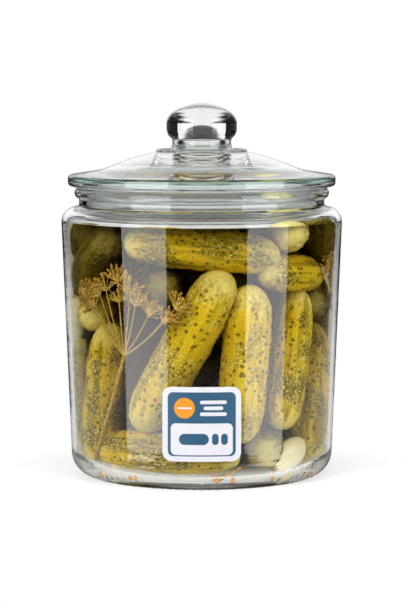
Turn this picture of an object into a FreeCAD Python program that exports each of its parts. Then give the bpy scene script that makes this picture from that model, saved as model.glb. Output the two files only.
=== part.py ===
"""Glass storage jar with a domed glass lid, its ribbed seal, a front label and pickles in brine.

The jar stands on its knurled foot with the origin at the centre of the table under it and +Z up.
The label faces -Y. Every round piece is one outline turned about the Z axis.
"""
import FreeCAD, Part

import math
import os

import Sketcher

# name in the sheet: (value in millimetres unless it is a count or a share, what it is)
DIMENSIONS = {
    # jar
    "jar_height": (191.0, "rim of the jar above the table"),
    "neck_height": (13.0, "rim above the top of the shoulder"),
    "shoulder_diameter": (186.4, "outside of the wall, carried up to the top of the shoulder"),
    "taper": (7.3, "how much nearer to the axis the wall is at the table"),
    "wall": (4.5, "side wall of the jar"),
    "floor_thickness": (6.6, "glass under the filling, above the table"),
    "heel_round": (15.6, "outer rounding between wall and foot"),
    "inner_heel_round": (12.0, "inner rounding between wall and floor"),
    "shoulder_round": (10.0, "outer rounding between wall and shoulder"),
    "neck_step": (12.0, "how far the neck stands back from the shoulder"),
    "neck_root_round": (1.6, "hollow between shoulder and neck"),
    "bead_height": (7.4, "height of the rounded bead at the rim"),
    "bead_round": (3.8, "section radius of the bead"),
    "mouth_edge_round": (1.2, "rounding of the rim's inner edge"),
    "foot_width": (7.0, "flat ring that the jar stands on"),
    "push_up": (2.4, "height of the hollow under the foot"),
    "push_up_slope": (5.0, "width of the slope round that hollow"),
    "knurl_count": (90.0, "notches round the foot"),
    "knurl_gap": (2.7, "from the flat ring to a notch's inner end"),
    "knurl_length": (4.0, "length of a notch"),
    "knurl_width": (2.6, "width of a notch at the table"),
    "knurl_depth": (0.7, "depth of a notch"),
    # seal
    "seal_gap": (0.2, "clearance between seal and glass"),
    "seal_flange": (0.9, "thickness of the seal between rim and lid"),
    "seal_flange_width": (9.0, "reach of the seal's flange over the rim"),
    "seal_sleeve": (1.5, "thickness of the seal round the plug"),
    "seal_depth": (12.5, "depth of the sleeve below the rim"),
    "rib_count": (3.0, "ribs of the seal"),
    "rib_pitch": (3.2, "distance from rib to rib"),
    "rib_height": (1.6, "height of a rib along the sleeve"),
    "rib_lean": (0.75, "where along its height a rib's tip is, from 0 to 1"),
    "rib_reach": (1.6, "how far a rib stands out of the sleeve"),
    # lid
    "lid_overhang": (7.2, "how far the lid's flange reaches past the neck"),
    "lid_edge": (7.0, "height of the flange at its edge"),
    "lid_edge_round": (2.2, "rounding of the flange's edge"),
    "lid_wall": (4.6, "thickness of the dome"),
    "plug_depth": (15.0, "how far the plug reaches below the flange"),
    "plug_wall": (4.0, "thickness of the plug"),
    "plug_root_round": (4.0, "hollow between plug and dome"),
    "dome_rise": (22.3, "top of the dome above the flange's underside"),
    "dome_foot_inset": (15.3, "from the plug's inside to where the dome runs into the slope"),
    "dome_foot_rise": (15.4, "height of that line above the flange's underside"),
    "flange_root_inset": (22.4, "from the lid's edge to where the slope runs out into the flange"),
    "flange_root_rise": (10.5, "height of that line above the flange's underside"),
    "flange_root_round": (40.0, "section radius between slope and flange"),
    "collar_diameter": (60.0, "disc under the knob"),
    "collar_height": (1.8, "height of that disc above the dome"),
    "collar_round": (0.8, "rounding of that disc"),
    "knob_height": (30.2, "top of the knob above the disc"),
    "knob_root_diameter": (41.4, "foot of the knob"),
    "knob_waist_diameter": (39.2, "narrowest part of the knob"),
    "knob_waist_rise": (6.6, "height of the waist above the disc"),
    "knob_waist_round": (9.0, "section radius of the hollow under the waist"),
    "knob_diameter": (46.4, "widest part of the knob"),
    "knob_low_rise": (10.4, "lower end of the knob's straight side above the disc"),
    "knob_high_rise": (19.6, "upper end of that side above the disc"),
    "knob_side_round": (7.0, "rounding at both ends of that side"),
    "knob_head_diameter": (40.6, "edge of the knob's top"),
    "knob_head_rise": (23.4, "height of that edge above the disc"),
    "knob_edge_round": (6.0, "rounding of that edge"),
    "hollow_diameter": (25.8, "hollow inside the knob"),
    "hollow_side": (8.2, "straight side of that hollow, above the disc"),
    "hollow_top": (17.4, "top of that hollow above the disc"),
    "hollow_mouth_round": (3.0, "rounding where the hollow opens under the dome"),
    # label
    "label_width": (50.0, "label along the wall"),
    "label_height": (48.0, "label up the wall"),
    "label_bottom": (20.4, "lower edge of the label above the table"),
    "label_thickness": (0.2, "thickness of the label"),
    "label_corner": (6.0, "corner rounding of the label"),
    "label_blank": (1.5, "length of the strip that the label is cut from, in label widths"),
    # filling
    "headspace": (10.0, "from the top of the shoulder down to the brine"),
    "fill_gap": (0.2, "clearance between filling and wall"),
    # working value
    "overrun": (5.0, "how far a cutting outline runs past the glass"),
}

# tops of the pickles that stand out of the brine: (degrees round the jar from the right side,
# gap to the wall, half length, half width, turn about Z in degrees, rise above the brine)
SURFACING_PICKLES = (
    (-41.0, 2.0, 15.0, 13.0, 60.0, 3.6),
    (-14.0, 1.5, 13.0, 12.0, 80.0, 3.0),
    (-156.0, 2.0, 14.0, 13.0, 110.0, 1.6),
    (75.0, 27.0, 34.0, 13.0, 15.0, 2.4),
    (139.0, 30.0, 26.0, 12.0, -40.0, 2.0),
)


# how a sketch numbers its own axes, its origin and the points of an edge
H_AXIS = -1
V_AXIS = -2
ORIGIN = (-1, 1)
START, END, CENTRE = 1, 2, 3


class Size:
    """A length together with the sheet formula that gives it."""

    def __init__(self, value, formula):
        self.value = value
        self.formula = formula

    def joined(self, sign, other, value):
        return Size(value, f"({self.formula} {sign} {as_size(other).formula})")

    def __add__(self, other):
        return self.joined("+", other, self.value + as_size(other).value)

    def __sub__(self, other):
        return self.joined("-", other, self.value - as_size(other).value)

    def __mul__(self, other):
        return self.joined("*", other, self.value * as_size(other).value)

    def __truediv__(self, other):
        return self.joined("/", other, self.value / as_size(other).value)


def as_size(number):
    return number if isinstance(number, Size) else Size(float(number), str(number))


class Sheet:
    """The spreadsheet of driving dimensions. sheet.wall gives the Size named wall."""

    def __init__(self, doc):
        self.cells = doc.addObject("Spreadsheet::Sheet", "Sizes")
        for row, (alias, (value, meaning)) in enumerate(DIMENSIONS.items(), start=1):
            self.cells.set(f"A{row}", alias)
            self.cells.set(f"B{row}", str(value))
            self.cells.setAlias(f"B{row}", alias)
            self.cells.set(f"C{row}", meaning)
        doc.recompute()

    def __getattr__(self, alias):
        return Size(float(self.cells.get(alias)), f"Sizes.{alias}")


class Outline:
    """Closed outlines in a sketch. Each corner is (distance across, height)."""

    def __init__(self, body, name, role="XZ_Plane"):
        self.sketch = body.newObject("Sketcher::SketchObject", name)
        self.sketch.AttachmentSupport = [(origin_feature(body, role), "")]
        self.sketch.MapMode = "FlatFace"
        self.corners = []
        self.edges = []

    def start(self, across, up):
        self.corners.append((as_size(across), as_size(up)))

    def line(self, across, up):
        self.start(across, up)
        self.edges.append(("line", None))

    def arc(self, across, up, radius, side):
        """An arc to the next corner, bulging to the left or right of the way there."""
        self.start(across, up)
        self.edges.append(("arc", (as_size(radius), side)))

    def closing_arc(self, radius, side):
        """An arc back to the first corner."""
        self.edges.append(("arc", (as_size(radius), side)))
        self.place_all()

    def crown(self, across, up, side):
        """An arc whose centre lies on the axis, so that it turns into part of a sphere."""
        begin = point_of(self.corners[-1])
        self.start(across, up)
        end = point_of(self.corners[-1])
        centre_up = (begin.Length ** 2 - end.Length ** 2) / (2 * (begin.y - end.y))
        radius = begin.distanceToPoint(FreeCAD.Vector(0, centre_up, 0))
        self.edges.append(("arc", (Size(radius, None), side)))

    def close(self):
        """A straight line back to the first corner."""
        self.edges.append(("line", None))
        return self.place_all()

    def place_all(self):
        placed = [self.add_edge(number) for number in range(len(self.edges))]
        for number, (_, this_start, _) in enumerate(placed):
            before, _, before_end = placed[number - 1]
            edge = placed[number][0]
            self.constrain("Coincident", before, before_end, edge, this_start)
            across, up = self.corners[number]
            self.place(edge, this_start, across, "DistanceX", V_AXIS)
            self.place(edge, this_start, up, "DistanceY", H_AXIS)
            kind, details = self.edges[number]
            if kind == "arc":
                self.set_radius(edge, details[0])
        self.corners = []
        self.edges = []
        return self.sketch

    def add_edge(self, number):
        """Draw one edge; give its index and which of its ends is its start and its finish."""
        begin = point_of(self.corners[number])
        end = point_of(self.corners[(number + 1) % len(self.corners)])
        kind, details = self.edges[number]
        if kind == "line":
            return self.sketch.addGeometry(Part.LineSegment(begin, end), False), START, END
        radius, side = details
        half_chord = (end - begin) * 0.5
        to_left = FreeCAD.Vector(-half_chord.y, half_chord.x, 0).normalize()
        rise = math.sqrt(max(radius.value ** 2 - half_chord.Length ** 2, 0.0))
        centre = begin + half_chord + to_left * (rise if side == "right" else -rise)
        first, last = (begin, end) if side == "right" else (end, begin)
        circle = Part.Circle(centre, FreeCAD.Vector(0, 0, 1), radius.value)
        first_angle = math.atan2(first.y - centre.y, first.x - centre.x)
        last_angle = math.atan2(last.y - centre.y, last.x - centre.x)
        arc = Part.ArcOfCircle(circle, first_angle, last_angle)
        index = self.sketch.addGeometry(arc, False)
        return (index, START, END) if side == "right" else (index, END, START)

    def set_radius(self, edge, radius):
        if radius.formula is None:
            self.constrain("PointOnObject", edge, CENTRE, V_AXIS)
            return
        self.constrain("Radius", edge, radius.value)
        self.bind(radius)

    def place(self, edge, end, size, direction, axis):
        if size.value == 0:
            self.constrain("PointOnObject", edge, end, axis)
            return
        self.constrain(direction, *ORIGIN, edge, end, size.value)
        self.bind(size)

    def constrain(self, *words):
        self.last = self.sketch.addConstraint(Sketcher.Constraint(*words))

    def bind(self, size):
        self.sketch.setExpression(f"Constraints[{self.last}]", size.formula)


def point_of(corner):
    return FreeCAD.Vector(corner[0].value, corner[1].value, 0)


def origin_feature(body, role):
    return next(feature for feature in body.Origin.OriginFeatures if feature.Role == role)


def new_body(doc, label, placement=None):
    body = doc.addObject("PartDesign::Body", label)
    body.Label = label
    body.Placement = placement or FreeCAD.Placement()
    return body


def turned(body, name, sketch, kind="PartDesign::Revolution", angle=None):
    """Turn an outline about the Z axis, as glass is added or cut away."""
    feature = body.newObject(kind, name)
    feature.Profile = sketch
    feature.ReferenceAxis = (sketch, ["V_Axis"])
    feature.Angle = 360.0
    if angle is not None:
        feature.Angle = angle.value
        feature.setExpression("Angle", angle.formula)
        feature.Midplane = True
    sketch.Visibility = False
    body.Document.recompute()


def is_ring(edge, across, up):
    """Whether an edge is the circle that a corner of a turned outline draws."""
    tolerance = 0.01
    if edge.Degenerated or not isinstance(edge.Curve, Part.Circle):
        return False
    circle = edge.Curve
    level = abs(circle.Axis.z) > 0.99
    return level and abs(circle.Radius - across) < tolerance and abs(circle.Center.z - up) < tolerance


def rounded(body, name, radius, corners):
    """Round the circular edges that lie at the given corners of the turned outline."""
    names = []
    for corner in corners:
        across, up = (as_size(number).value for number in corner)
        edges = enumerate(body.Tip.Shape.Edges, start=1)
        found = [f"Edge{number}" for number, edge in edges if is_ring(edge, across, up)]
        if not found:
            raise RuntimeError(f"{name}: no edge at {across:.2f}, {up:.2f}")
        names += found
    base = body.Tip
    fillet = body.newObject("PartDesign::Fillet", name)
    fillet.Base = (base, names)
    fillet.Radius = radius.value
    fillet.setExpression("Radius", radius.formula)
    body.Document.recompute()


def shoulder_top(sheet):
    return sheet.jar_height - sheet.neck_height


def wall_outside(sheet, up):
    """Outer radius of the tapered wall at a height, before the heel and shoulder are rounded."""
    return sheet.shoulder_diameter / 2 - sheet.taper + sheet.taper / shoulder_top(sheet) * up


def neck_outside(sheet):
    return sheet.shoulder_diameter / 2 - sheet.neck_step


def foot_outside(sheet):
    """Outer radius of the flat ring, where the rounded heel leaves the table."""
    return wall_outside(sheet, 0) - sheet.heel_round


def make_jar(doc, sheet):
    """Blown glass: a tapered wall, a round shoulder, a short neck with a beaded rim."""
    body = new_body(doc, "jar")
    neck = neck_outside(sheet)
    mouth = neck - sheet.wall
    foot = wall_outside(sheet, 0)
    foot_inner = foot_outside(sheet) - sheet.foot_width
    shoulder_up = shoulder_top(sheet)
    shoulder = wall_outside(sheet, shoulder_up)
    bead_bottom = sheet.jar_height - sheet.bead_height
    floor_up = sheet.floor_thickness
    inner_heel = wall_outside(sheet, floor_up) - sheet.wall
    ceiling = shoulder_up - sheet.wall
    inner_shoulder = wall_outside(sheet, ceiling) - sheet.wall

    blank = Outline(body, "glass_outline")
    blank.start(0, sheet.push_up)
    blank.line(foot_inner - sheet.push_up_slope, sheet.push_up)
    blank.line(foot_inner, 0)
    blank.line(foot, 0)
    blank.line(shoulder, shoulder_up)
    blank.line(neck, shoulder_up)
    blank.line(neck, bead_bottom)
    blank.arc(neck, sheet.jar_height, sheet.bead_round, "right")
    blank.line(0, sheet.jar_height)
    turned(body, "glass_blank", blank.close())

    hollow = Outline(body, "cavity_outline")
    hollow.start(0, floor_up)
    hollow.line(inner_heel, floor_up)
    hollow.line(inner_shoulder, ceiling)
    hollow.line(mouth, ceiling)
    hollow.line(mouth, sheet.jar_height + sheet.overrun)
    hollow.line(0, sheet.jar_height + sheet.overrun)
    turned(body, "cavity", hollow.close(), "PartDesign::Groove")

    rounded(body, "heel", sheet.heel_round, [(foot, 0)])
    rounded(body, "shoulder", sheet.shoulder_round, [(shoulder, shoulder_up)])
    rounded(body, "neck_root", sheet.neck_root_round, [(neck, shoulder_up)])
    rounded(body, "inner_heel", sheet.inner_heel_round, [(inner_heel, floor_up)])
    inner_shoulder_round = sheet.shoulder_round - sheet.wall
    rounded(body, "inner_shoulder", inner_shoulder_round, [(inner_shoulder, ceiling)])
    rounded(body, "mouth_root", sheet.wall / 2, [(mouth, ceiling)])
    rounded(body, "mouth_edge", sheet.mouth_edge_round, [(mouth, sheet.jar_height)])
    add_knurls(body, sheet)
    return body


def add_knurls(body, sheet):
    """Short V notches round the foot, just outside the flat ring."""
    notch = Outline(body, "knurl_outline", "YZ_Plane")
    half = sheet.knurl_width / 2
    notch.start(as_size(0) - half, 0)
    notch.line(half, 0)
    notch.line(0, sheet.knurl_depth)
    sketch = notch.close()
    notch_start = foot_outside(sheet) + sheet.knurl_gap
    sketch.setExpression("AttachmentOffset.Base.z", notch_start.formula)
    sketch.Visibility = False

    pocket = body.newObject("PartDesign::Pocket", "knurl")
    pocket.Profile = sketch
    pocket.Length = sheet.knurl_length.value
    pocket.setExpression("Length", sheet.knurl_length.formula)
    pocket.Reversed = True
    body.Document.recompute()

    pattern = body.newObject("PartDesign::PolarPattern", "knurls")
    pattern.Originals = [pocket]
    pattern.Axis = (origin_feature(body, "Z_Axis"), [""])
    pattern.Angle = 360.0
    pattern.Occurrences = int(sheet.knurl_count.value)
    pattern.setExpression("Occurrences", sheet.knurl_count.formula)
    body.Tip = pattern
    body.Document.recompute()


def lid_seat(sheet):
    """Height of the flange's underside, which lies on the seal."""
    return sheet.jar_height + sheet.seal_flange


def plug_outside(sheet):
    """Radius of the plug, which leaves room for the seal inside the neck."""
    seal = sheet.seal_gap + sheet.seal_sleeve + sheet.rib_reach + sheet.seal_gap
    return neck_outside(sheet) - sheet.wall - seal


def make_lid(doc, sheet):
    """Pressed glass: a flange, a plug, an ogee dome, a disc and a hollow knob, in one outline."""
    body = new_body(doc, "lid")
    seat = lid_seat(sheet)
    edge = neck_outside(sheet) + sheet.lid_overhang
    plug = plug_outside(sheet)
    plug_inside = plug - sheet.plug_wall
    dome_top = seat + sheet.dome_rise
    dome_foot = plug_inside - sheet.dome_foot_inset
    dome_foot_up = seat + sheet.dome_foot_rise
    flange_root = edge - sheet.flange_root_inset
    flange_root_up = seat + sheet.flange_root_rise
    collar = sheet.collar_diameter / 2
    disc = dome_top + sheet.collar_height
    knob_root = sheet.knob_root_diameter / 2
    knob = sheet.knob_diameter / 2
    head = sheet.knob_head_diameter / 2
    hollow = sheet.hollow_diameter / 2
    under_dome = disc - sheet.lid_wall
    plug_bottom = seat - sheet.plug_depth
    inner_root_up = seat + sheet.lid_wall

    outline = Outline(body, "lid_outline")
    outline.start(0, disc + sheet.knob_height)
    outline.crown(head, disc + sheet.knob_head_rise, "left")
    outline.line(knob, disc + sheet.knob_high_rise)
    outline.line(knob, disc + sheet.knob_low_rise)
    outline.line(sheet.knob_waist_diameter / 2, disc + sheet.knob_waist_rise)
    outline.arc(knob_root, disc, sheet.knob_waist_round, "right")
    outline.line(collar, disc)
    outline.line(collar, dome_top)
    outline.crown(dome_foot, dome_foot_up, "left")
    outline.line(flange_root, flange_root_up)
    outline.line(edge, seat + sheet.lid_edge)
    outline.line(edge, seat)
    outline.line(plug, seat)
    outline.line(plug, plug_bottom)
    outline.line(plug_inside, plug_bottom)
    outline.line(plug_inside, inner_root_up)
    outline.line(dome_foot, dome_foot_up - sheet.lid_wall)
    outline.crown(hollow, under_dome, "right")
    outline.line(hollow, disc + sheet.hollow_side)
    outline.crown(0, disc + sheet.hollow_top, "right")
    turned(body, "lid_glass", outline.close())

    knob_side = [(knob, disc + sheet.knob_high_rise), (knob, disc + sheet.knob_low_rise)]
    rounded(body, "knob_side", sheet.knob_side_round, knob_side)
    rounded(body, "knob_edge", sheet.knob_edge_round, [(head, disc + sheet.knob_head_rise)])
    rounded(body, "disc_edge", sheet.collar_round, [(collar, disc)])
    rounded(body, "flange_root", sheet.flange_root_round, [(flange_root, flange_root_up)])
    rounded(body, "flange_edge", sheet.lid_edge_round, [(edge, seat + sheet.lid_edge), (edge, seat)])
    rounded(body, "plug_edge", sheet.plug_wall / 3, [(plug, plug_bottom), (plug_inside, plug_bottom)])
    rounded(body, "plug_root", sheet.plug_root_round, [(plug_inside, inner_root_up)])
    rounded(body, "hollow_mouth", sheet.hollow_mouth_round, [(hollow, under_dome)])
    return body


def make_seal(doc, sheet):
    """Clear soft seal: a flange on the rim and a sleeve with ribs round the plug."""
    body = new_body(doc, "seal_ring")
    inside = plug_outside(sheet) + sheet.seal_gap
    sleeve = inside + sheet.seal_sleeve
    tip = sleeve + sheet.rib_reach
    rim = sheet.jar_height
    bottom = rim - sheet.seal_depth
    outline = Outline(body, "seal_outline")
    outline.start(inside, bottom)
    outline.line(sleeve, bottom)
    for number in range(int(sheet.rib_count.value)):
        rib = bottom + sheet.rib_pitch * number + sheet.rib_height / 2
        outline.line(sleeve, rib)
        outline.line(tip, rib + sheet.rib_height * sheet.rib_lean)
        outline.line(sleeve, rib + sheet.rib_height)
    outline.line(sleeve, rim)
    outline.line(sleeve + sheet.seal_flange_width, rim)
    outline.line(sleeve + sheet.seal_flange_width, rim + sheet.seal_flange)
    outline.line(inside, rim + sheet.seal_flange)
    turned(body, "seal", outline.close())
    return body


def make_label(doc, sheet):
    """Sticker with rounded corners that follows the tapered wall."""
    to_front = FreeCAD.Rotation(FreeCAD.Vector(0, 0, 1), -90)
    body = new_body(doc, "label", FreeCAD.Placement(FreeCAD.Vector(), to_front))
    low = sheet.label_bottom
    high = low + sheet.label_height
    section = Outline(body, "label_section")
    section.start(wall_outside(sheet, low), low)
    section.line(wall_outside(sheet, low) + sheet.label_thickness, low)
    section.line(wall_outside(sheet, high) + sheet.label_thickness, high)
    section.line(wall_outside(sheet, high), high)
    degrees_per_radian = Size(180.0 / math.pi, "180 / pi")
    strip = sheet.label_width * sheet.label_blank
    turn = strip / wall_outside(sheet, low) * degrees_per_radian
    turned(body, "label_strip", section.close(), angle=turn)

    half = sheet.label_width / 2
    round_by = sheet.label_corner
    trim = Outline(body, "label_trim", "YZ_Plane")
    trim.start(round_by - half, low)
    trim.line(half - round_by, low)
    trim.arc(half, low + round_by, round_by, "right")
    trim.line(half, high - round_by)
    trim.arc(half - round_by, high, round_by, "right")
    trim.line(round_by - half, high)
    trim.arc(as_size(0) - half, high - round_by, round_by, "right")
    trim.line(as_size(0) - half, low + round_by)
    trim.closing_arc(round_by, "right")
    outside = sheet.label_width
    trim.start(as_size(0) - outside, low - sheet.overrun)
    trim.line(outside, low - sheet.overrun)
    trim.line(outside, high + sheet.overrun)
    trim.line(as_size(0) - outside, high + sheet.overrun)
    cut = body.newObject("PartDesign::Pocket", "label_outline")
    cut.Profile = trim.close()
    cut.Type = "ThroughAll"
    cut.Reversed = True
    trim.sketch.Visibility = False
    doc.recompute()
    return body


def make_filling(doc, sheet):
    """Brine up to its level, with the tops of the pickles that stand out of it."""
    body = new_body(doc, "filling")
    bottom = sheet.floor_thickness
    top = shoulder_top(sheet) - sheet.headspace
    low_side = wall_outside(sheet, bottom) - sheet.wall - sheet.fill_gap
    high_side = wall_outside(sheet, top) - sheet.wall - sheet.fill_gap
    outline = Outline(body, "brine_outline")
    outline.start(0, bottom)
    outline.line(low_side, bottom)
    outline.line(high_side, top)
    outline.line(0, top)
    turned(body, "brine", outline.close())
    rounded(body, "brine_heel", sheet.inner_heel_round, [(low_side, bottom)])
    for number, pickle in enumerate(SURFACING_PICKLES, start=1):
        add_pickle_top(body, f"pickle_top_{number}", high_side, top, pickle)
    return body


def add_pickle_top(body, name, wall, level, pickle):
    """The rounded back of one pickle, standing out of the brine by its rise."""
    around, gap, half_length, half_width, turn, rise = pickle
    back = body.newObject("PartDesign::AdditiveEllipsoid", name)
    back.Radius1 = half_width
    back.Radius2 = half_length
    back.Radius3 = half_width
    back.AttachmentSupport = [(origin_feature(body, "XY_Plane"), "")]
    back.MapMode = "FlatFace"
    from_axis = wall - gap - half_width
    right = from_axis * math.cos(math.radians(around))
    front = from_axis * math.sin(math.radians(around))
    up = level + rise - half_width
    rotation = FreeCAD.Rotation(FreeCAD.Vector(0, 0, 1), turn)
    place = FreeCAD.Vector(right.value, front.value, up.value)
    back.AttachmentOffset = FreeCAD.Placement(place, rotation)
    for axis, size in (("x", right), ("y", front), ("z", up)):
        back.setExpression(f"AttachmentOffset.Base.{axis}", size.formula)
    body.Document.recompute()


def check(doc, bodies):
    for thing in doc.Objects:
        if "Invalid" in thing.State or "Error" in thing.State:
            raise RuntimeError(f"{thing.Label} failed: {thing.State}")
        if thing.TypeId == "Sketcher::SketchObject" and thing.solve() != 0:
            raise RuntimeError(f"{thing.Label} does not solve")
    for body in bodies:
        if body.Shape.isNull() or not body.Shape.isValid():
            raise RuntimeError(f"{body.Label} is not a valid shape")
        print(f"{body.Label}: {len(body.Shape.Solids)} solid, {body.Shape.Volume / 1000.0:.2f} cm3")


def main():
    doc = FreeCAD.newDocument("storage_jar")
    sheet = Sheet(doc)
    bodies = [
        make_jar(doc, sheet),
        make_lid(doc, sheet),
        make_seal(doc, sheet),
        make_label(doc, sheet),
        make_filling(doc, sheet),
    ]
    doc.recompute()
    check(doc, bodies)
    os.makedirs("parts", exist_ok=True)
    for body in bodies:
        body.Shape.exportStep(f"parts/{body.Label}.step")


main()
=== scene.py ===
"""Looks of a glass storage jar with a domed lid, a clear seal, a front label and pickles in brine.

Lengths are in metres, +Z is up, and the label faces -Y. Azimuths are degrees round the jar from
the front, positive to the viewer's right. The tables of pickles, garlic and dill are in
millimetres and degrees.
"""

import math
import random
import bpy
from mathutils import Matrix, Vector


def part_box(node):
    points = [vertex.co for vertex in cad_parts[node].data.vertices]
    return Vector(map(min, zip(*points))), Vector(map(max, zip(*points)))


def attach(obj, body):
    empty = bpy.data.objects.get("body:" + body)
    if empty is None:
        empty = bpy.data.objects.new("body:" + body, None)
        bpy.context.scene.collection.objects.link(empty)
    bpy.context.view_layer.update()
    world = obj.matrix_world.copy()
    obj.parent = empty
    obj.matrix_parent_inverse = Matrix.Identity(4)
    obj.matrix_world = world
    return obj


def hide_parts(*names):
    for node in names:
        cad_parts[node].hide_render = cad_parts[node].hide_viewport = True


bl_info = {
    "name": "Pickle Storage Jar",
    "version": (1, 0, 0),
    "blender": (4, 5, 0),
    "location": "View3D > Sidebar > Jar",
    "description": "Builds a glass storage jar filled with pickled cucumbers",
    "category": "Add Mesh",
}

import bmesh
import bpy
from mathutils import Matrix, Vector, noise

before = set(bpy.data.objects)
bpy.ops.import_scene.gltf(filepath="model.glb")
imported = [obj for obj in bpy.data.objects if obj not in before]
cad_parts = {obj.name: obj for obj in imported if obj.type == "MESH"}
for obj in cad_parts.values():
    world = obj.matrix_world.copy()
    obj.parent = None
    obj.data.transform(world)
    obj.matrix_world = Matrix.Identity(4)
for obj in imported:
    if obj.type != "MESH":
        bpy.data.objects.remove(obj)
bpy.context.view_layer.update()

MM = 0.001
BODY = "root"
TAU = 2.0 * math.pi
WHITE = (1.0, 1.0, 1.0)
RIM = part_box("jar")[1].z
LID_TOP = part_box("lid")[1].z
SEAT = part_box("seal_ring")[1].z
BRINE_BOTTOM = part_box("filling")[0].z
LABEL_LOW, LABEL_HIGH = (corner.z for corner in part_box("label"))


def length(name, description, millimetres):
    return bpy.props.FloatProperty(
        name=name, description=description, default=millimetres * MM, min=0.0,
        subtype="DISTANCE", unit="LENGTH", precision=4,
    )


def count(name, description, default):
    return bpy.props.IntProperty(name=name, description=description, default=default, min=1)


def linear(red, green, blue):
    """A colour written as 0 to 255 per channel, as the shaders want it."""
    channels = (value / 255.0 for value in (red, green, blue))
    return tuple(c / 12.92 if c <= 0.04045 else ((c + 0.055) / 1.055) ** 2.4 for c in channels)


def colour(name, description, red, green, blue):
    return bpy.props.FloatVectorProperty(
        name=name, description=description, default=linear(red, green, blue),
        size=3, min=0.0, max=1.0, subtype="COLOR",
    )


class JAR_PG_jar(bpy.types.PropertyGroup):
    """Sizes of the jar glass."""

    shoulder: length("Shoulder Radius", "Outside of the wall carried up to the shoulder's top", 93.2)
    taper: length("Taper", "How much nearer to the axis the wall is at the table", 7.3)
    wall: length("Wall", "Thickness of the side wall", 4.5)
    neck_height: length("Neck Height", "Rim above the top of the shoulder", 13.0)
    neck_step: length("Neck Step", "How far the neck stands back from the shoulder", 12.0)
    shoulder_round: length("Shoulder Rounding", "Outer rounding between wall and shoulder", 10.0)
    heel_round: length("Heel Rounding", "Outer rounding between wall and foot", 15.6)
    inner_heel_round: length("Inner Heel Rounding", "Inner rounding between wall and floor", 12.0)
    neck_root_round: length("Neck Root", "Hollow between shoulder and neck", 1.6)
    bead_height: length("Bead Height", "Height of the bead at the rim", 7.4)
    bead_round: length("Bead Radius", "Section radius of the bead", 3.8)
    mouth_edge_round: length("Mouth Edge", "Rounding of the rim's inner edge", 1.2)
    foot_width: length("Foot Width", "Flat ring that the jar stands on", 7.0)
    push_up: length("Push-up", "Height of the hollow under the foot", 2.4)
    push_up_slope: length("Push-up Slope", "Width of the slope round that hollow", 5.0)
    knurls: count("Knurls", "Notches round the foot", 90)
    knurl_gap: length("Knurl Gap", "From the flat ring to a notch's inner end", 2.7)
    knurl_length: length("Knurl Length", "Length of a notch", 4.0)
    knurl_depth: length("Knurl Depth", "Depth of a notch", 0.7)


class JAR_PG_lid(bpy.types.PropertyGroup):
    """Sizes of the lid glass; heights are above the flange's underside or above the disc."""

    overhang: length("Overhang", "How far the flange reaches past the neck", 7.2)
    edge: length("Edge", "Height of the flange at its edge", 7.0)
    edge_round: length("Edge Rounding", "Rounding of the flange's edge", 2.2)
    wall: length("Dome Wall", "Thickness of the dome", 4.6)
    plug_depth: length("Plug Depth", "How far the plug reaches below the flange", 15.0)
    plug_wall: length("Plug Wall", "Thickness of the plug", 4.0)
    plug_root_round: length("Plug Root", "Hollow between plug and dome", 4.0)
    dome_rise: length("Dome Rise", "Top of the dome", 22.3)
    dome_foot_inset: length("Dome Foot Inset", "From the plug's inside to the dome's foot", 15.3)
    dome_foot_rise: length("Dome Foot Rise", "Height of the dome's foot", 15.4)
    flange_root_inset: length("Slope Inset", "From the lid's edge to the slope's foot", 22.4)
    flange_root_rise: length("Slope Rise", "Height of the slope's foot", 10.5)
    flange_root_round: length("Slope Rounding", "Section radius between slope and flange", 40.0)
    collar: length("Collar Radius", "Radius of the disc under the knob", 30.0)
    collar_height: length("Collar Height", "Height of that disc above the dome", 1.8)
    collar_round: length("Collar Rounding", "Rounding of that disc", 0.8)
    knob_root: length("Knob Root", "Radius of the knob's foot", 20.7)
    knob_waist: length("Knob Waist", "Narrowest radius of the knob", 19.6)
    knob_waist_rise: length("Waist Rise", "Height of the waist", 6.6)
    knob_waist_round: length("Waist Rounding", "Section radius under the waist", 9.0)
    knob: length("Knob Radius", "Widest radius of the knob", 23.2)
    knob_low: length("Knob Side Low", "Lower end of the knob's straight side", 10.4)
    knob_high: length("Knob Side High", "Upper end of the knob's straight side", 19.6)
    knob_side_round: length("Knob Side Rounding", "Rounding at the ends of that side", 7.0)
    knob_head: length("Knob Head", "Radius of the edge of the knob's top", 20.3)
    knob_head_rise: length("Knob Head Rise", "Height of that edge", 23.4)
    knob_edge_round: length("Knob Edge Rounding", "Rounding of that edge", 6.0)
    hollow: length("Hollow Radius", "Hollow inside the knob", 12.9)
    hollow_side: length("Hollow Side", "Straight side of the hollow", 8.2)
    hollow_top: length("Hollow Top", "Top of the hollow", 17.4)
    hollow_mouth_round: length("Hollow Mouth", "Rounding where the hollow opens", 3.0)


class JAR_PG_seal(bpy.types.PropertyGroup):
    """Sizes of the clear seal."""

    gap: length("Gap", "Clearance between seal and glass", 0.2)
    flange_width: length("Flange Width", "Reach of the flange over the rim", 9.0)
    sleeve: length("Sleeve", "Thickness of the sleeve round the plug", 1.5)
    depth: length("Depth", "Depth of the sleeve below the rim", 12.5)
    ribs: count("Ribs", "Ribs round the sleeve", 3)
    rib_pitch: length("Rib Pitch", "Distance from rib to rib", 3.2)
    rib_height: length("Rib Height", "Height of a rib along the sleeve", 1.6)
    rib_reach: length("Rib Reach", "How far a rib stands out of the sleeve", 1.6)


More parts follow.
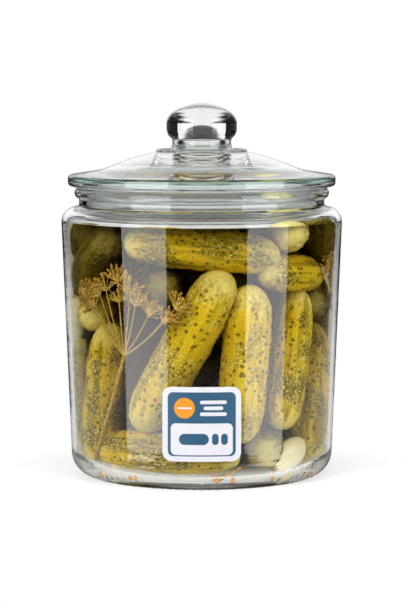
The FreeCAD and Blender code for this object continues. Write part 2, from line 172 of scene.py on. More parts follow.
class JAR_PG_filling(bpy.types.PropertyGroup):
    """Sizes of the brine and the small things in it."""

    headspace: length("Headspace", "From the shoulder's top down to the brine", 10.0)
    reach: length("Reach", "How far the brine reaches into the glass", 0.3)
    meniscus: length("Meniscus", "How far the brine climbs at the wall", 0.8)
    seed: bpy.props.IntProperty(
        name="Seed", description="Start of the random draws", default=11, min=0
    )
    skin_segments: count("Skin Segments", "Facets round a pickle", 64)
    skin_rings: count("Skin Rings", "Facets along a pickle", 84)


class JAR_PG_label(bpy.types.PropertyGroup):
    """Sizes of the front label."""

    width: length("Width", "Width of the label", 50.0)
    thickness: length("Thickness", "Thickness of the label", 0.2)
    corner: length("Corner", "Corner rounding", 6.0)
    border: length("Border", "White border round the blue field", 3.4)


class JAR_PG_colours(bpy.types.PropertyGroup):
    """Colours of the finishes."""

    glass: colour("Glass", "Body colour of the glass", 250, 252, 251)
    glass_edge: colour("Glass Edge", "Where the glass is seen edge on", 156, 204, 192)
    seal: colour("Seal", "Clear soft seal", 236, 240, 240)
    brine: colour("Brine", "Yellow of the brine in depth", 200, 184, 84)
    flesh: colour("Pickle Yellow", "Lit skin of a bright pickle", 238, 202, 42)
    olive: colour("Pickle Olive", "Shaded skin between the streaks", 124, 104, 8)
    # deep is the dark skins' own shade colour, and also the painted shade of the pickles deep in the
    # jar
    deep: colour("Pickle Deep", "Skin of a dark pickle", 66, 54, 4)
    tip: colour("Pickle Tip", "Pale ends", 255, 240, 148)
    spot: colour("Pickle Spot", "Dark spots", 66, 58, 16)
    garlic: colour("Garlic", "Skin of a clove", 255, 246, 214)
    dill: colour("Dill", "Dry stems", 222, 184, 80)
    seed: colour("Dill Seed", "Dry dill seeds", 204, 156, 52)
    spice: colour("Spice Seed", "Small round seeds", 248, 196, 124)
    paper: colour("Label White", "Border and panel of the label", 192, 192, 198)
    blue: colour("Label Blue", "Field of the label", 28, 71, 97)
    orange: colour("Label Orange", "Accent of the label", 212, 128, 0)
    floor: colour("Floor", "Pale floor", 246, 246, 247)


SETTINGS = (
    ("jar_glass_sizes", JAR_PG_jar),
    ("lid_glass_sizes", JAR_PG_lid),
    ("seal_sizes", JAR_PG_seal),
    ("filling_sizes", JAR_PG_filling),
    ("label_sizes", JAR_PG_label),
    ("jar_colours", JAR_PG_colours),
)


# ---------------------------------------------------------------- shader building

class Tree:
    """Adds nodes to one node tree; an input takes a value or another node's output."""

    def __init__(self, tree):
        self.tree = tree
        tree.nodes.clear()

    def link(self, socket, target):
        self.tree.links.new(socket, target)

    def add(self, kind, inputs=None, **settings):
        node = self.tree.nodes.new(kind)
        for name, value in settings.items():
            setattr(node, name, value)
        for name, value in (inputs or {}).items():
            socket = node.inputs[name]
            if isinstance(value, bpy.types.NodeSocket):
                self.link(value, socket)
            else:
                socket.default_value = value
        return node

    def maths(self, operation, first, second=0.0, third=0.0):
        inputs = {0: first, 1: second, 2: third}
        return self.add("ShaderNodeMath", inputs, operation=operation).outputs[0]

    def both(self, first, second):
        return self.maths("MULTIPLY", first, second)

    def vector(self, operation, first, second=(0.0, 0.0, 0.0)):
        inputs = {0: first, 1: second}
        return self.add("ShaderNodeVectorMath", inputs, operation=operation).outputs[0]

    def mix(self, factor, first, second):
        inputs = {"Factor": factor, 6: first, 7: second}
        return self.add("ShaderNodeMix", inputs, data_type="RGBA").outputs[2]

    def step(self, value, low, high, start=0.0, end=1.0):
        """start below low, end above high, and a smooth change between them."""
        inputs = {"Value": value, 1: low, 2: high, 3: start, 4: end}
        node = self.add("ShaderNodeMapRange", inputs, interpolation_type="SMOOTHSTEP")
        return node.outputs[0]

    def noise(self, vector, scale, detail=2.0, roughness=0.5):
        inputs = {"Vector": vector, "Scale": scale, "Detail": detail, "Roughness": roughness}
        return self.add("ShaderNodeTexNoise", inputs).outputs["Fac"]

    def parts(self, vector):
        """The X, Y and Z of a vector."""
        return self.add("ShaderNodeSeparateXYZ", {0: vector}).outputs

    def distance(self, vector):
        """How long a vector is."""
        return self.add("ShaderNodeVectorMath", {0: vector}, operation="LENGTH").outputs["Value"]

    def bump(self, strength, distance, height):
        inputs = {"Strength": strength, "Distance": distance, "Height": height}
        return self.add("ShaderNodeBump", inputs).outputs[0]


def rgba(shade):
    return (*shade, 1.0)


def new_group(name, inputs, outputs):
    """An empty shader node group with the named sockets."""
    group = bpy.data.node_groups.new(name, "ShaderNodeTree")
    tree = Tree(group)
    for label, kind, default in inputs:
        socket = group.interface.new_socket(label, in_out="INPUT", socket_type=kind)
        if default is not None:
            socket.default_value = default
    for label, kind in outputs:
        group.interface.new_socket(label, in_out="OUTPUT", socket_type=kind)
    return tree, tree.add("NodeGroupInput").outputs, tree.add("NodeGroupOutput")


def shared_group(name, build):
    """The named node group, built the first time that it is asked for."""
    return bpy.data.node_groups.get(name) or build()


def glass_waves_group():
    """Slow waves and fine ripples that blown and pressed glass keeps."""
    tree, given, result = new_group(
        "glass_waves",
        [("Vector", "NodeSocketVector", None), ("Ripples", "NodeSocketFloat", 0.3)],
        [("Height", "NodeSocketFloat")],
    )
    slow = tree.noise(given["Vector"], 16.0, detail=1.0)
    flat = tree.vector("MULTIPLY", given["Vector"], (30.0, 30.0, 260.0))
    fine = tree.both(tree.noise(flat, 1.0, detail=1.0), given["Ripples"])
    tree.link(tree.maths("ADD", slow, fine), result.inputs["Height"])
    return tree.tree


def skin_group():
    """Streaks, speckle, warty spots and pale ends of a pickled cucumber."""
    tree, given, result = new_group(
        "pickle_skin",
        [
            ("Position", "NodeSocketVector", None),
            ("Along", "NodeSocketFloat", 0.0),
            ("Bright", "NodeSocketColor", (0.6, 0.4, 0.05, 1.0)),
            ("Shade", "NodeSocketColor", (0.2, 0.13, 0.01, 1.0)),
            ("Tip", "NodeSocketColor", (1.0, 0.9, 0.4, 1.0)),
            ("Spot", "NodeSocketColor", (0.05, 0.04, 0.01, 1.0)),
            ("Paleness", "NodeSocketFloat", 0.5),
            ("Shadiness", "NodeSocketFloat", 0.5),
        ],
        [("Color", "NodeSocketColor"), ("Height", "NodeSocketFloat"),
         ("Roughness", "NodeSocketFloat")],
    )
    position = given["Position"]
    stretched = tree.vector("MULTIPLY", position, (0.22, 0.22, 0.022))
    # long streaks and broad patches of shade
    streak = tree.noise(stretched, 1.0, detail=3.0, roughness=0.6)
    patch = tree.noise(position, 0.05, detail=1.0)
    grain = tree.noise(position, 0.85, detail=3.0, roughness=0.65)
    shade = tree.maths("ADD", tree.step(streak, 0.40, 0.64), tree.step(patch, 0.38, 0.66))
    shade = tree.both(shade, given["Shadiness"])
    skin = tree.mix(tree.step(shade, 0.0, 1.0), given["Bright"], given["Shade"])

    # pale speckle and darker mottling
    specked = tree.both(tree.step(grain, 0.52, 0.62), tree.step(patch, 0.38, 0.56))
    skin = tree.mix(tree.both(specked, given["Paleness"]), skin, given["Tip"])
    mottled = tree.both(tree.step(grain, 0.52, 0.40), 0.30)
    skin = tree.mix(mottled, skin, given["Shade"])

    # ragged dark spots, each in a lighter ring
    inputs = {"Vector": position, "Scale": 0.9, "Detail": 1.0}
    ragged = tree.add("ShaderNodeTexNoise", inputs).outputs["Color"]
    ragged = tree.vector("MULTIPLY", ragged, (1.6, 1.6, 1.6))
    inputs = {"Vector": tree.vector("ADD", position, ragged), "Scale": 0.25}
    warts = tree.add("ShaderNodeTexVoronoi", inputs).outputs["Distance"]
    halo = tree.step(warts, 0.52, 0.36)
    spot = tree.step(warts, 0.42, 0.16)
    skin = tree.mix(tree.both(halo, 0.25), skin, given["Bright"])
    skin = tree.mix(tree.both(spot, 0.78), skin, given["Spot"])

    # pale ends, and the scar where the stalk was
    end = tree.maths("ABSOLUTE", given["Along"])
    end = tree.maths("ADD", end, tree.maths("MULTIPLY_ADD", streak, -0.5, 0.25))
    pale = tree.both(tree.step(end, 0.62, 1.0), given["Paleness"])
    skin = tree.mix(pale, skin, given["Tip"])
    scar = tree.both(tree.step(given["Along"], 0.985, 0.997), 0.6)
    skin = tree.mix(scar, skin, given["Spot"])

    height = tree.maths("MULTIPLY_ADD", tree.step(warts, 0.42, 0.1), 0.6, grain)
    tree.link(skin, result.inputs["Color"])
    tree.link(height, result.inputs["Height"])
    tree.link(tree.step(grain, 0.3, 0.7, 0.42, 0.28), result.inputs["Roughness"])
    return tree.tree


def new_material(name):
    material = bpy.data.materials.new(name)
    material.use_nodes = True
    return material, Tree(material.node_tree)


def clear_surface(tree, shade, ior, normal, roughness=0.0, weight=1.0, lamplight=WHITE):
    """A clear surface that lets lamplight through, so that what is behind it stays lit."""
    surface = tree.add("ShaderNodeBsdfPrincipled", {
        "Base Color": shade, "Roughness": roughness, "IOR": ior, "Transmission Weight": weight,
        "Normal": normal,
    })
    clear = tree.add("ShaderNodeBsdfTransparent", {"Color": rgba(lamplight)})
    path = tree.add("ShaderNodeLightPath").outputs["Is Shadow Ray"]
    inputs = {0: path, 1: surface.outputs[0], 2: clear.outputs[0]}
    return tree.add("ShaderNodeMixShader", inputs).outputs[0]


def wavy_normal(tree, strength, distance):
    """The waves of glass as a normal for a clear surface."""
    waves = shared_group("glass_waves", glass_waves_group)
    inputs = {"Vector": tree.add("ShaderNodeTexCoord").outputs["Object"], "Ripples": 0.3}
    height = tree.add("ShaderNodeGroup", inputs, node_tree=waves).outputs[0]
    return tree.bump(strength, distance, height)


def glass_material(name, tint, edge_tint=None, edge_radius=0.0, edge_up=0.0):
    """Clear glass; past the edge radius and above the edge height it takes the edge colour."""
    material, tree = new_material(name)
    base = rgba(tint)
    if edge_tint is not None:
        place = tree.add("ShaderNodeTexCoord").outputs["Object"]
        across = tree.distance(tree.vector("MULTIPLY", place, (1.0, 1.0, 0.0)))
        up = tree.parts(place)["Z"]
        edge = tree.both(tree.step(across, edge_radius, edge_radius + 1.0 * MM),
                         tree.step(up, edge_up - 0.8 * MM, edge_up + 0.8 * MM))
        base = tree.mix(edge, rgba(tint), rgba(edge_tint))
    normal = wavy_normal(tree, 0.12, 1.0 * MM)
    surface = clear_surface(tree, base, 1.5, normal, lamplight=(0.97, 0.975, 0.975))
    tree.add("ShaderNodeOutputMaterial", {"Surface": surface})
    return material


def seal_material(shade):
    material, tree = new_material("clear_seal")
    normal = wavy_normal(tree, 0.2, 0.5 * MM)
    surface = clear_surface(tree, rgba(shade), 1.41, normal, roughness=0.12, weight=0.92,
                            lamplight=(0.9, 0.9, 0.9))
    tree.add("ShaderNodeOutputMaterial", {"Surface": surface})
    return material


def brine_material(name, shade, ior):
    """Clear skin round a yellow brine, which deepens the colour of what lies further in."""
    material, tree = new_material(name)
    surface = clear_surface(tree, rgba(WHITE), ior, wavy_normal(tree, 0.1, 1.0 * MM))
    depth = tree.add("ShaderNodeVolumeAbsorption", {"Color": rgba(shade), "Density": 26.0})
    tree.add("ShaderNodeOutputMaterial", {"Surface": surface, "Volume": depth.outputs[0]})
    return material


def skin_place(tree):
    """Where a point lies on the grown skin, in millimetres, and how far along, from -1 to 1."""
    place = tree.add("ShaderNodeAttribute", attribute_name="skin_place").outputs["Vector"]
    along = tree.add("ShaderNodeAttribute", attribute_name="skin_along").outputs["Fac"]
    return place, along


def pickle_material(name, colours, bright, shade, paleness, shadiness):
    material, tree = new_material(name)
    place, along = skin_place(tree)
    skin = tree.add("ShaderNodeGroup", {
        "Position": place, "Along": along, "Bright": rgba(bright), "Shade": rgba(shade),
        "Tip": rgba(colours.tip), "Spot": rgba(colours.spot),
        "Paleness": paleness, "Shadiness": shadiness,
    }, node_tree=shared_group("pickle_skin", skin_group)).outputs
    surface = tree.add("ShaderNodeBsdfPrincipled", {
        "Base Color": skin["Color"], "Roughness": skin["Roughness"], "IOR": 1.36,
        "Specular IOR Level": 0.08, "Normal": tree.bump(0.8, 0.8 * MM, skin["Height"]),
    })
    tree.add("ShaderNodeOutputMaterial", {"Surface": surface.outputs[0]})
    return material


def opaque_surface(tree, shade, roughness, normal):
    """Finishes a tree with an opaque surface."""
    surface = tree.add("ShaderNodeBsdfPrincipled", {
        "Base Color": shade, "Roughness": roughness, "Normal": normal,
    })
    tree.add("ShaderNodeOutputMaterial", {"Surface": surface.outputs[0]})


# ---------------------------------------------------------------- mesh building

class Outline:
    """Half the section of a turned piece: straight runs, arcs and rounded corners."""

    def __init__(self, across, up):
        self.mesh = bmesh.new()
        self.first = self.last = self.mesh.verts.new((across, 0.0, up))
        self.corners = []

    def line(self, across, up, rounding=0.0):
        corner = self.mesh.verts.new((across, 0.0, up))
        self.mesh.edges.new((self.last, corner))
        self.last = corner
        if rounding:
            self.corners.append((corner, rounding))

    def arc(self, across, up, radius, side, steps=16, rounding=0.0):
        """An arc to the given point, its centre to the left or right of the way there."""
        start = self.last.co.copy()
        end = Vector((across, 0.0, up))
        chord = end - start
        turn = 1.0 if side == "left" else -1.0
        inwards = Vector((-chord.z, 0.0, chord.x)).normalized() * turn
        half = chord.length / 2.0
        centre = (start + end) / 2.0 + inwards * math.sqrt(max(radius**2 - half**2, 0.0))
        swept = bmesh.ops.spin(
            self.mesh, geom=[self.last], cent=centre, axis=(0.0, -turn, 0.0),
            angle=2.0 * math.asin(min(half / radius, 1.0)), steps=steps,
        )["geom_last"]
        self.last = next(part for part in swept if isinstance(part, bmesh.types.BMVert))
        if rounding:
            self.corners.append((self.last, rounding))

    def crown(self, across, up, side, rounding=0.0):
        """An arc to the given point whose centre is on the axis."""
        start = self.last.co
        drop = start.z - up
        middle = ((start.x**2 + start.z**2) - (across**2 + up**2)) / (2.0 * drop)
        radius = math.hypot(start.x, start.z - middle)
        self.arc(across, up, radius, side, steps=24, rounding=rounding)

    def close(self):
        self.mesh.edges.new((self.last, self.first))

    def round_corners(self):
        nearly_all = 0.998
        for corner, radius in self.corners:
            ways = [(edge.other_vert(corner).co - corner.co) for edge in corner.link_edges]
            turn = math.pi - ways[0].angle(ways[1])
            room = min(way.length for way in ways) * nearly_all
            reach = min(radius * math.tan(turn / 2.0), room)
            bmesh.ops.bevel(
                self.mesh, geom=[corner], offset=reach, offset_type="OFFSET", segments=10,
                profile=0.5, affect="VERTICES", material=-1, clamp_overlap=False,
            )

    def turned(self, steps):
        """The whole piece: the outline spun once round the Z axis."""
        self.round_corners()
        bmesh.ops.spin(
            self.mesh, geom=self.mesh.verts[:] + self.mesh.edges[:], cent=(0.0, 0.0, 0.0),
            axis=(0.0, 0.0, 1.0), angle=TAU, steps=steps, use_merge=True,
        )
        tidy(self.mesh)
        return self.mesh


def tidy(mesh):
    """Closes seams and poles and turns every face outwards."""
    touching = 0.001 * MM
    bmesh.ops.remove_doubles(mesh, verts=mesh.verts, dist=touching)
    bmesh.ops.dissolve_degenerate(mesh, edges=mesh.edges, dist=touching)
    bmesh.ops.recalc_face_normals(mesh, faces=mesh.faces)


def new_object(name, mesh, materials):
    """Links an object made of a finished mesh."""
    data = bpy.data.meshes.new(name)
    mesh.to_mesh(data)
    mesh.free()
    for material in materials:
        data.materials.append(material)
    made = bpy.data.objects.new(name, data)
    bpy.context.scene.collection.objects.link(made)
    return made


def new_piece(name, mesh, materials, smooth=True):
    """Makes an object of a finished mesh and rides it on the jar's body."""
    piece = new_object(name, mesh, materials)
    if smooth:
        piece.data.shade_smooth()
    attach(piece, BODY)
    return piece


def keep_flats_true(piece):
    """Large faces keep their own normals, so that roundings don't bend the light beside them."""
    keep = piece.modifiers.new("flat_normals", "WEIGHTED_NORMAL")
    keep.mode = "FACE_AREA"
    keep.keep_sharp = True


def wall_outside(jar, up):
    """Outer radius of the tapered wall at a height."""
    return jar.shoulder - jar.taper + jar.taper * up / (RIM - jar.neck_height)


def wall_inside(jar, up):
    return wall_outside(jar, up) - jar.wall


def around(azimuth, radius, up):
    """A point at an azimuth in degrees, a distance from the axis and a height."""
    turn = math.radians(azimuth)
    return Vector((radius * math.sin(turn), -radius * math.cos(turn), up))


def by_the_wall(jar, azimuth, up, depth):
    """A point in the jar; its height and its distance in from the wall are in millimetres."""
    return around(azimuth, wall_inside(jar, up * MM) - depth * MM, up * MM)


# ---------------------------------------------------------------- glass, seal and brine

class JAR_OT_jar_glass(bpy.types.Operator):
    """Add the jar: a tapered wall, a round shoulder, a beaded rim and a knurled foot"""

    bl_idname = "storage_jar.jar_glass"
    bl_label = "Jar Glass"

    def execute(self, context):
        jar = context.scene.jar_glass_sizes
        neck = jar.shoulder - jar.neck_step
        mouth = neck - jar.wall
        shoulder_up = RIM - jar.neck_height
        ceiling = shoulder_up - jar.wall
        foot = wall_outside(jar, 0.0)
        flat = foot - jar.heel_round
        foot_inside = flat - jar.foot_width
        floor_up = BRINE_BOTTOM

        outline = Outline(0.0, jar.push_up)
        outline.line(foot_inside - jar.push_up_slope, jar.push_up, rounding=4.0 * MM)
        outline.line(foot_inside, 0.0, rounding=3.0 * MM)
        outline.line(flat - 0.5 * MM, 0.0)
        outline.line(foot, 0.0, jar.heel_round)
        outline.line(jar.shoulder, shoulder_up, jar.shoulder_round)
        outline.line(neck, shoulder_up, jar.neck_root_round)
        outline.line(neck, RIM - jar.bead_height, rounding=0.5 * MM)
        outline.arc(neck, RIM, jar.bead_round, "left", rounding=0.5 * MM)
        outline.line(mouth, RIM, jar.mouth_edge_round)
        outline.line(mouth, ceiling, jar.wall / 2.0)
        outline.line(wall_inside(jar, ceiling), ceiling, jar.shoulder_round - jar.wall)
        outline.line(wall_inside(jar, floor_up), floor_up, jar.inner_heel_round)
        outline.line(0.0, floor_up)
        mesh = outline.turned(steps=4 * jar.knurls)

        # every fourth step round the foot is raised to make a notch
        first = flat + jar.knurl_gap
        last = first + jar.knurl_length
        same_step = 0.1
        for vert in mesh.verts:
            across = math.hypot(vert.co.x, vert.co.y)
            if first < across < last and vert.co.z < jar.knurl_depth:
                turn = math.atan2(vert.co.y, vert.co.x) / TAU * jar.knurls
                if abs(turn - round(turn)) < same_step:
                    vert.co.z = jar.knurl_depth

        glass = glass_material("jar_glass", context.scene.jar_colours.glass)
        piece = new_piece("jar_glass", mesh, [glass])
        keep_flats_true(piece)
        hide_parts("jar")
        return {"FINISHED"}


class JAR_OT_lid_glass(bpy.types.Operator):
    """Add the lid: a flange, a plug, an ogee dome, a disc and a hollow knob"""

    bl_idname = "storage_jar.lid_glass"
    bl_label = "Lid Glass"

    def execute(self, context):
        jar = context.scene.jar_glass_sizes
        lid = context.scene.lid_glass_sizes
        seal = context.scene.seal_sizes
        colours = context.scene.jar_colours
        neck = jar.shoulder - jar.neck_step
        edge = neck + lid.overhang
        plug = neck - jar.wall - 2.0 * seal.gap - seal.sleeve - seal.rib_reach
        plug_inside = plug - lid.plug_wall
        dome_top = SEAT + lid.dome_rise
        dome_foot = plug_inside - lid.dome_foot_inset
        dome_foot_up = SEAT + lid.dome_foot_rise
        disc = dome_top + lid.collar_height
        plug_low = SEAT - lid.plug_depth
        plug_round = lid.plug_wall / 3.0
        dome_foot_round = 30.0 * MM

        outline = Outline(0.0, LID_TOP)
        outline.crown(lid.knob_head, disc + lid.knob_head_rise, "right",
                      rounding=lid.knob_edge_round)
        outline.line(lid.knob, disc + lid.knob_high, lid.knob_side_round)
        outline.line(lid.knob, disc + lid.knob_low, lid.knob_side_round)
        outline.line(lid.knob_waist, disc + lid.knob_waist_rise, rounding=2.0 * MM)
        outline.arc(lid.knob_root, disc, lid.knob_waist_round, "left", rounding=1.2 * MM)
        outline.line(lid.collar, disc, lid.collar_round)
        outline.line(lid.collar, dome_top, rounding=0.5 * MM)
        outline.crown(dome_foot, dome_foot_up, "right", rounding=dome_foot_round)
        outline.line(edge - lid.flange_root_inset, SEAT + lid.flange_root_rise,
                     lid.flange_root_round)
        outline.line(edge, SEAT + lid.edge, lid.edge_round)
        outline.line(edge, SEAT, lid.edge_round)
        outline.line(plug, SEAT, rounding=0.4 * MM)
        outline.line(plug, plug_low, plug_round)
        outline.line(plug_inside, plug_low, plug_round)
        outline.line(plug_inside, SEAT + lid.wall, lid.plug_root_round)
        outline.line(dome_foot, dome_foot_up - lid.wall, dome_foot_round)
        outline.crown(lid.hollow, disc - lid.wall, "left", rounding=lid.hollow_mouth_round)
        outline.line(lid.hollow, disc + lid.hollow_side, rounding=2.0 * MM)
        outline.crown(0.0, disc + lid.hollow_top, "left")

        glass = glass_material("lid_glass", colours.glass, colours.glass_edge,
                               edge_radius=edge - 1.6 * MM, edge_up=SEAT + 0.5 * lid.edge)
        piece = new_piece("lid_glass", outline.turned(steps=240), [glass])
        keep_flats_true(piece)
        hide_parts("lid")
        return {"FINISHED"}


class JAR_OT_seal(bpy.types.Operator):
    """Add the clear seal: a flange on the rim and a ribbed sleeve round the plug"""

    bl_idname = "storage_jar.seal"
    bl_label = "Seal"

    def execute(self, context):
        jar = context.scene.jar_glass_sizes
        seal = context.scene.seal_sizes
        inside = jar.shoulder - jar.neck_step - jar.wall - seal.gap - seal.sleeve - seal.rib_reach
        sleeve = inside + seal.sleeve
        low = RIM - seal.depth
        flange = sleeve + seal.flange_width
        # a film of air keeps the seal's faces off those of the rim and the lid
        film = 0.03 * MM
        low_seat = RIM + film
        high_seat = SEAT - film
        edge_round = 0.3 * MM
        rib_root = 0.2 * MM
        rib_tip = 0.25 * MM

        outline = Outline(inside, low)
        outline.line(sleeve, low, edge_round)
        for number in range(seal.ribs):
            rib = low + seal.rib_pitch * number + seal.rib_height / 2.0
            outline.line(sleeve, rib, rib_root)
            outline.line(sleeve + seal.rib_reach, rib + seal.rib_height * 0.75, rib_tip)
            outline.line(sleeve, rib + seal.rib_height, rib_root)
        for across, up in ((sleeve, low_seat), (flange, low_seat),
                           (flange, high_seat), (inside, high_seat)):
            outline.line(across, up, edge_round)
        outline.close()
        clear = seal_material(context.scene.jar_colours.seal)
        piece = new_piece("clear_seal", outline.turned(steps=192), [clear])
        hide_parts("seal_ring")
        return {"FINISHED"}


class JAR_OT_brine(bpy.types.Operator):
    """Add the brine: one clear body that reaches just into the glass"""

    bl_idname = "storage_jar.brine"
    bl_label = "Brine"

    def execute(self, context):
        jar = context.scene.jar_glass_sizes
        filling = context.scene.filling_sizes
        shade = context.scene.jar_colours.brine
        level = RIM - jar.neck_height - filling.headspace
        low = BRINE_BOTTOM - filling.reach
        edge = wall_inside(jar, level) + filling.reach

        outline = Outline(0.0, low)
        outline.line(wall_inside(jar, low) + filling.reach, low, jar.inner_heel_round)
        outline.line(edge, level + filling.meniscus)
        outline.line(edge - 3.0 * MM, level, rounding=3.0 * MM)
        outline.line(0.0, level)
        mesh = outline.turned(steps=160)
        looks_up = 0.3
        for face in mesh.faces:
            face.material_index = int(face.normal.z > looks_up)

        # the side lies in the glass and hardly bends light; the level meets the air
        side = brine_material("brine_side", shade, 1.02)
        top = brine_material("brine_top", shade, 1.33)
        piece = new_piece("brine", mesh, [side, top])
        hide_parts("filling")
        return {"FINISHED"}


# ---------------------------------------------------------------- pickles

# name: two ends, each (azimuth, height, distance from the wall's inside), then thickness and
# how closely it follows the wall from 0 to 1, and its skin
FRONT_PICKLES = {
    "upper_front": ((-41, 158, 14.5), (42, 148, 14.5), 26.6, 0.5, "mid"),
    "upper_left": ((-108, 108, 15.8), (-50, 163, 18), 31.0, 0.95, "dark"),
    "upper_right_end_on": ((40.5, 163, 4.2), (100, 160, 31), 25.5, 0.0, "pale"),
    "right_edge_top": ((84, 178, 12.3), (91, 136, 12.3), 24.0, 1.0, "dark"),
    "upper_right": ((30, 138, 13), (77, 134, 13), 24.0, 0.6, "mid"),
    "middle_slanting": ((13, 140, 17), (-37, 36, 18), 31.0, 0.45, "bright"),
    "middle_pale": ((26, 131, 16.5), (20, 29, 15.5), 30.0, 0.3, "bright"),
    "middle_right": ((56, 127, 13), (45, 36, 12.5), 24.5, 0.3, "mid"),
    "right_long": ((86, 101, 13.8), (71, 9.5, 14.5), 27.0, 0.9, "mid"),
    "right_end_on": ((61.3, 116, 7.0), (118.5, 112, 6.6), 22.0, 0.0, "dark"),
    "left_thin": ((-84, 91, 5.8), (-85, 20, 6.2), 11.5, 1.0, "mid"),
    "left_long": ((-55, 104, 15), (-70, 9.5, 12), 25.5, 0.4, "mid"),
    "bottom_lying": ((-66, 21, 15.6), (21, 21, 15), 28.5, 0.8, "mid"),
    "bottom_end_on": ((29.5, 22.0, 3.6), (90, 23, 42), 28.5, 0.0, "grey"),
    "left_end_on": ((-58, 108, 4.6), (-119.4, 112, 14.6), 23.0, 0.0, "mid"),
    "behind_upper_left": ((-21, 129, 16), (-102, 126, 63), 27.0, 0.0, "dark"),
    # the pickles further in mostly take the darkest skin, whose darkness is painted shade for the
    # depth of the jar
    "behind_middle": ((-16, 66, 40), (16, 88, 40), 28.0, 0.2, "hidden"),
    "behind_upper_middle": ((4, 128, 34), (40, 132, 36), 24.0, 0.2, "hidden"),
    "behind_left": ((-42, 124, 38), (-56, 34, 36), 28.0, 0.2, "hidden"),
    "behind_lower_left": ((-24, 92, 42), (-46, 18, 42), 30.0, 0.2, "hidden"),
    "behind_right": ((62, 128, 34), (56, 40, 34), 28.0, 0.2, "hidden"),
    "behind_far_right": ((80, 88, 24), (92, 16, 22), 28.0, 0.2, "dark"),
    "lower_right_edge": ((48, 64, 34), (56, 16, 34), 26.0, 0.0, "hidden"),
    # the dark skin of these pickles by the side walls is partly painted shade
    "behind_top_left": ((-84, 166, 14), (-116, 128, 14), 27.0, 1.0, "dark"),
    "behind_left_edge": ((-96, 98, 14), (-100, 16, 14), 27.0, 1.0, "dark"),
    "behind_right_edge": ((98, 132, 13.3), (100, 40, 13.3), 26.0, 1.0, "dark"),
    "under_middle": ((-6, 20, 46), (46, 20, 40), 25.0, 0.3, "hidden"),
    "under_left": ((-96, 20, 40), (-40, 20, 46), 25.0, 0.3, "hidden"),
    "under_top": ((-70, 150, 46), (10, 154, 46), 26.0, 0.3, "hidden"),
    "behind_mid_left": ((-60, 118, 46), (-4, 100, 46), 26.0, 0.2, "hidden"),
}

# first and last azimuth, step, lower and upper height, distance from the wall's inside
FILLER_ROWS = (
    (110, 258, 18.4, 14, 86, 14.5),
    (116, 244, 18.4, 88, 163, 14.5),
    (60, 300, 40.0, 14, 86, 44),
    (80, 280, 40.0, 88, 163, 44),
    (20, 340, 80.0, 14, 86, 70),
    (40, 360, 80.0, 88, 160, 70),
)


class Pickle:
    """One cucumber between two ends, with its own bend, lumps and blunt tips."""

    def __init__(self, jar, ends, thickness, hug, rng):
        self.points = []
        for azimuth, up, depth in ends:
            radius = wall_inside(jar, up * MM) - depth * MM
            self.points.append((azimuth, radius, up * MM))
        self.radius = thickness * MM / 2.0
        self.hug = hug
        self.seed = Vector((rng.uniform(-40, 40), rng.uniform(-40, 40), rng.uniform(-40, 40)))
        self.phase = rng.uniform(0.0, TAU)
        self.taper = rng.uniform(-0.07, 0.07)
        self.swell = rng.uniform(0.0, 0.06)
        start, end = self.centre(0.0), self.centre(1.0)
        self.half = (end - start).length / 2.0
        self.blunt = max(2.2, 1.5 * self.half / self.radius)
        self.outwards = self.centre(0.5).copy()
        self.outwards.z = 0.0

    def centre(self, share):
        (azimuth_a, radius_a, up_a), (azimuth_b, radius_b, up_b) = self.points
        straight = around(azimuth_a, radius_a, up_a).lerp(around(azimuth_b, radius_b, up_b), share)
        followed = around(
            azimuth_a + (azimuth_b - azimuth_a) * share,
            radius_a + (radius_b - radius_a) * share,
            up_a + (up_b - up_a) * share,
        )
        return straight.lerp(followed, self.hug)

    def forward(self, share):
        """The way that the middle line runs."""
        step = 0.01
        return (self.centre(share + step) - self.centre(share - step)).normalized()

    def section(self, along, turn):
        """The place on the skin and the distance from the middle line, both in millimetres."""
        thick = math.sqrt(max(0.0, 1.0 - abs(along) ** self.blunt))
        thick *= 1.0 + self.taper * along - self.swell * along * along
        # slightly three-sided, with faint ribs
        thick *= 1.0 + 0.025 * math.cos(3.0 * turn + self.phase)
        thick *= 1.0 + 0.010 * math.cos(9.0 * turn + 2.0 * self.phase + 1.5 * along)
        radius = self.radius / MM
        skin = Vector((
            radius * thick * math.cos(turn), radius * thick * math.sin(turn),
            self.half / MM * along,
        )) + self.seed
        lump = 0.55 * noise.noise(skin * 0.10) + 0.40 * noise.noise(skin * 0.24)
        wart = max(0.0, 0.42 - noise.voronoi(skin * 0.19)[0][0]) * 1.5
        return skin, radius * thick + (lump + wart) * min(1.0, thick * 1.4)

    def surface(self, unit):
        """Where a point of the unit ball comes to lie, its place on the skin, and how far along."""
        along = max(-1.0, min(1.0, -unit.z))
        turn = math.atan2(unit.y, unit.x)
        share = (along + 1.0) / 2.0
        forward = self.forward(share)
        side = forward.cross(self.outwards).normalized()
        out = side.cross(forward)
        skin, depth = self.section(along, turn)
        away = side * math.cos(turn) + out * math.sin(turn)
        return self.centre(share) + away * depth * MM, skin, along


def add_food(name, food, sizes, material, detail=1.0):
    """Grows a pickle or a clove from a ball."""
    mesh = bmesh.new()
    bmesh.ops.create_uvsphere(
        mesh, u_segments=round(sizes.skin_segments * detail),
        v_segments=round(sizes.skin_rings * detail), radius=1.0,
    )
    place_layer = mesh.verts.layers.float_vector.new("skin_place")
    along_layer = mesh.verts.layers.float.new("skin_along")
    for vert in mesh.verts:
        vert.co, vert[place_layer], vert[along_layer] = food.surface(vert.co)
    bmesh.ops.recalc_face_normals(mesh, faces=mesh.faces)
    return new_piece(name, mesh, [material])


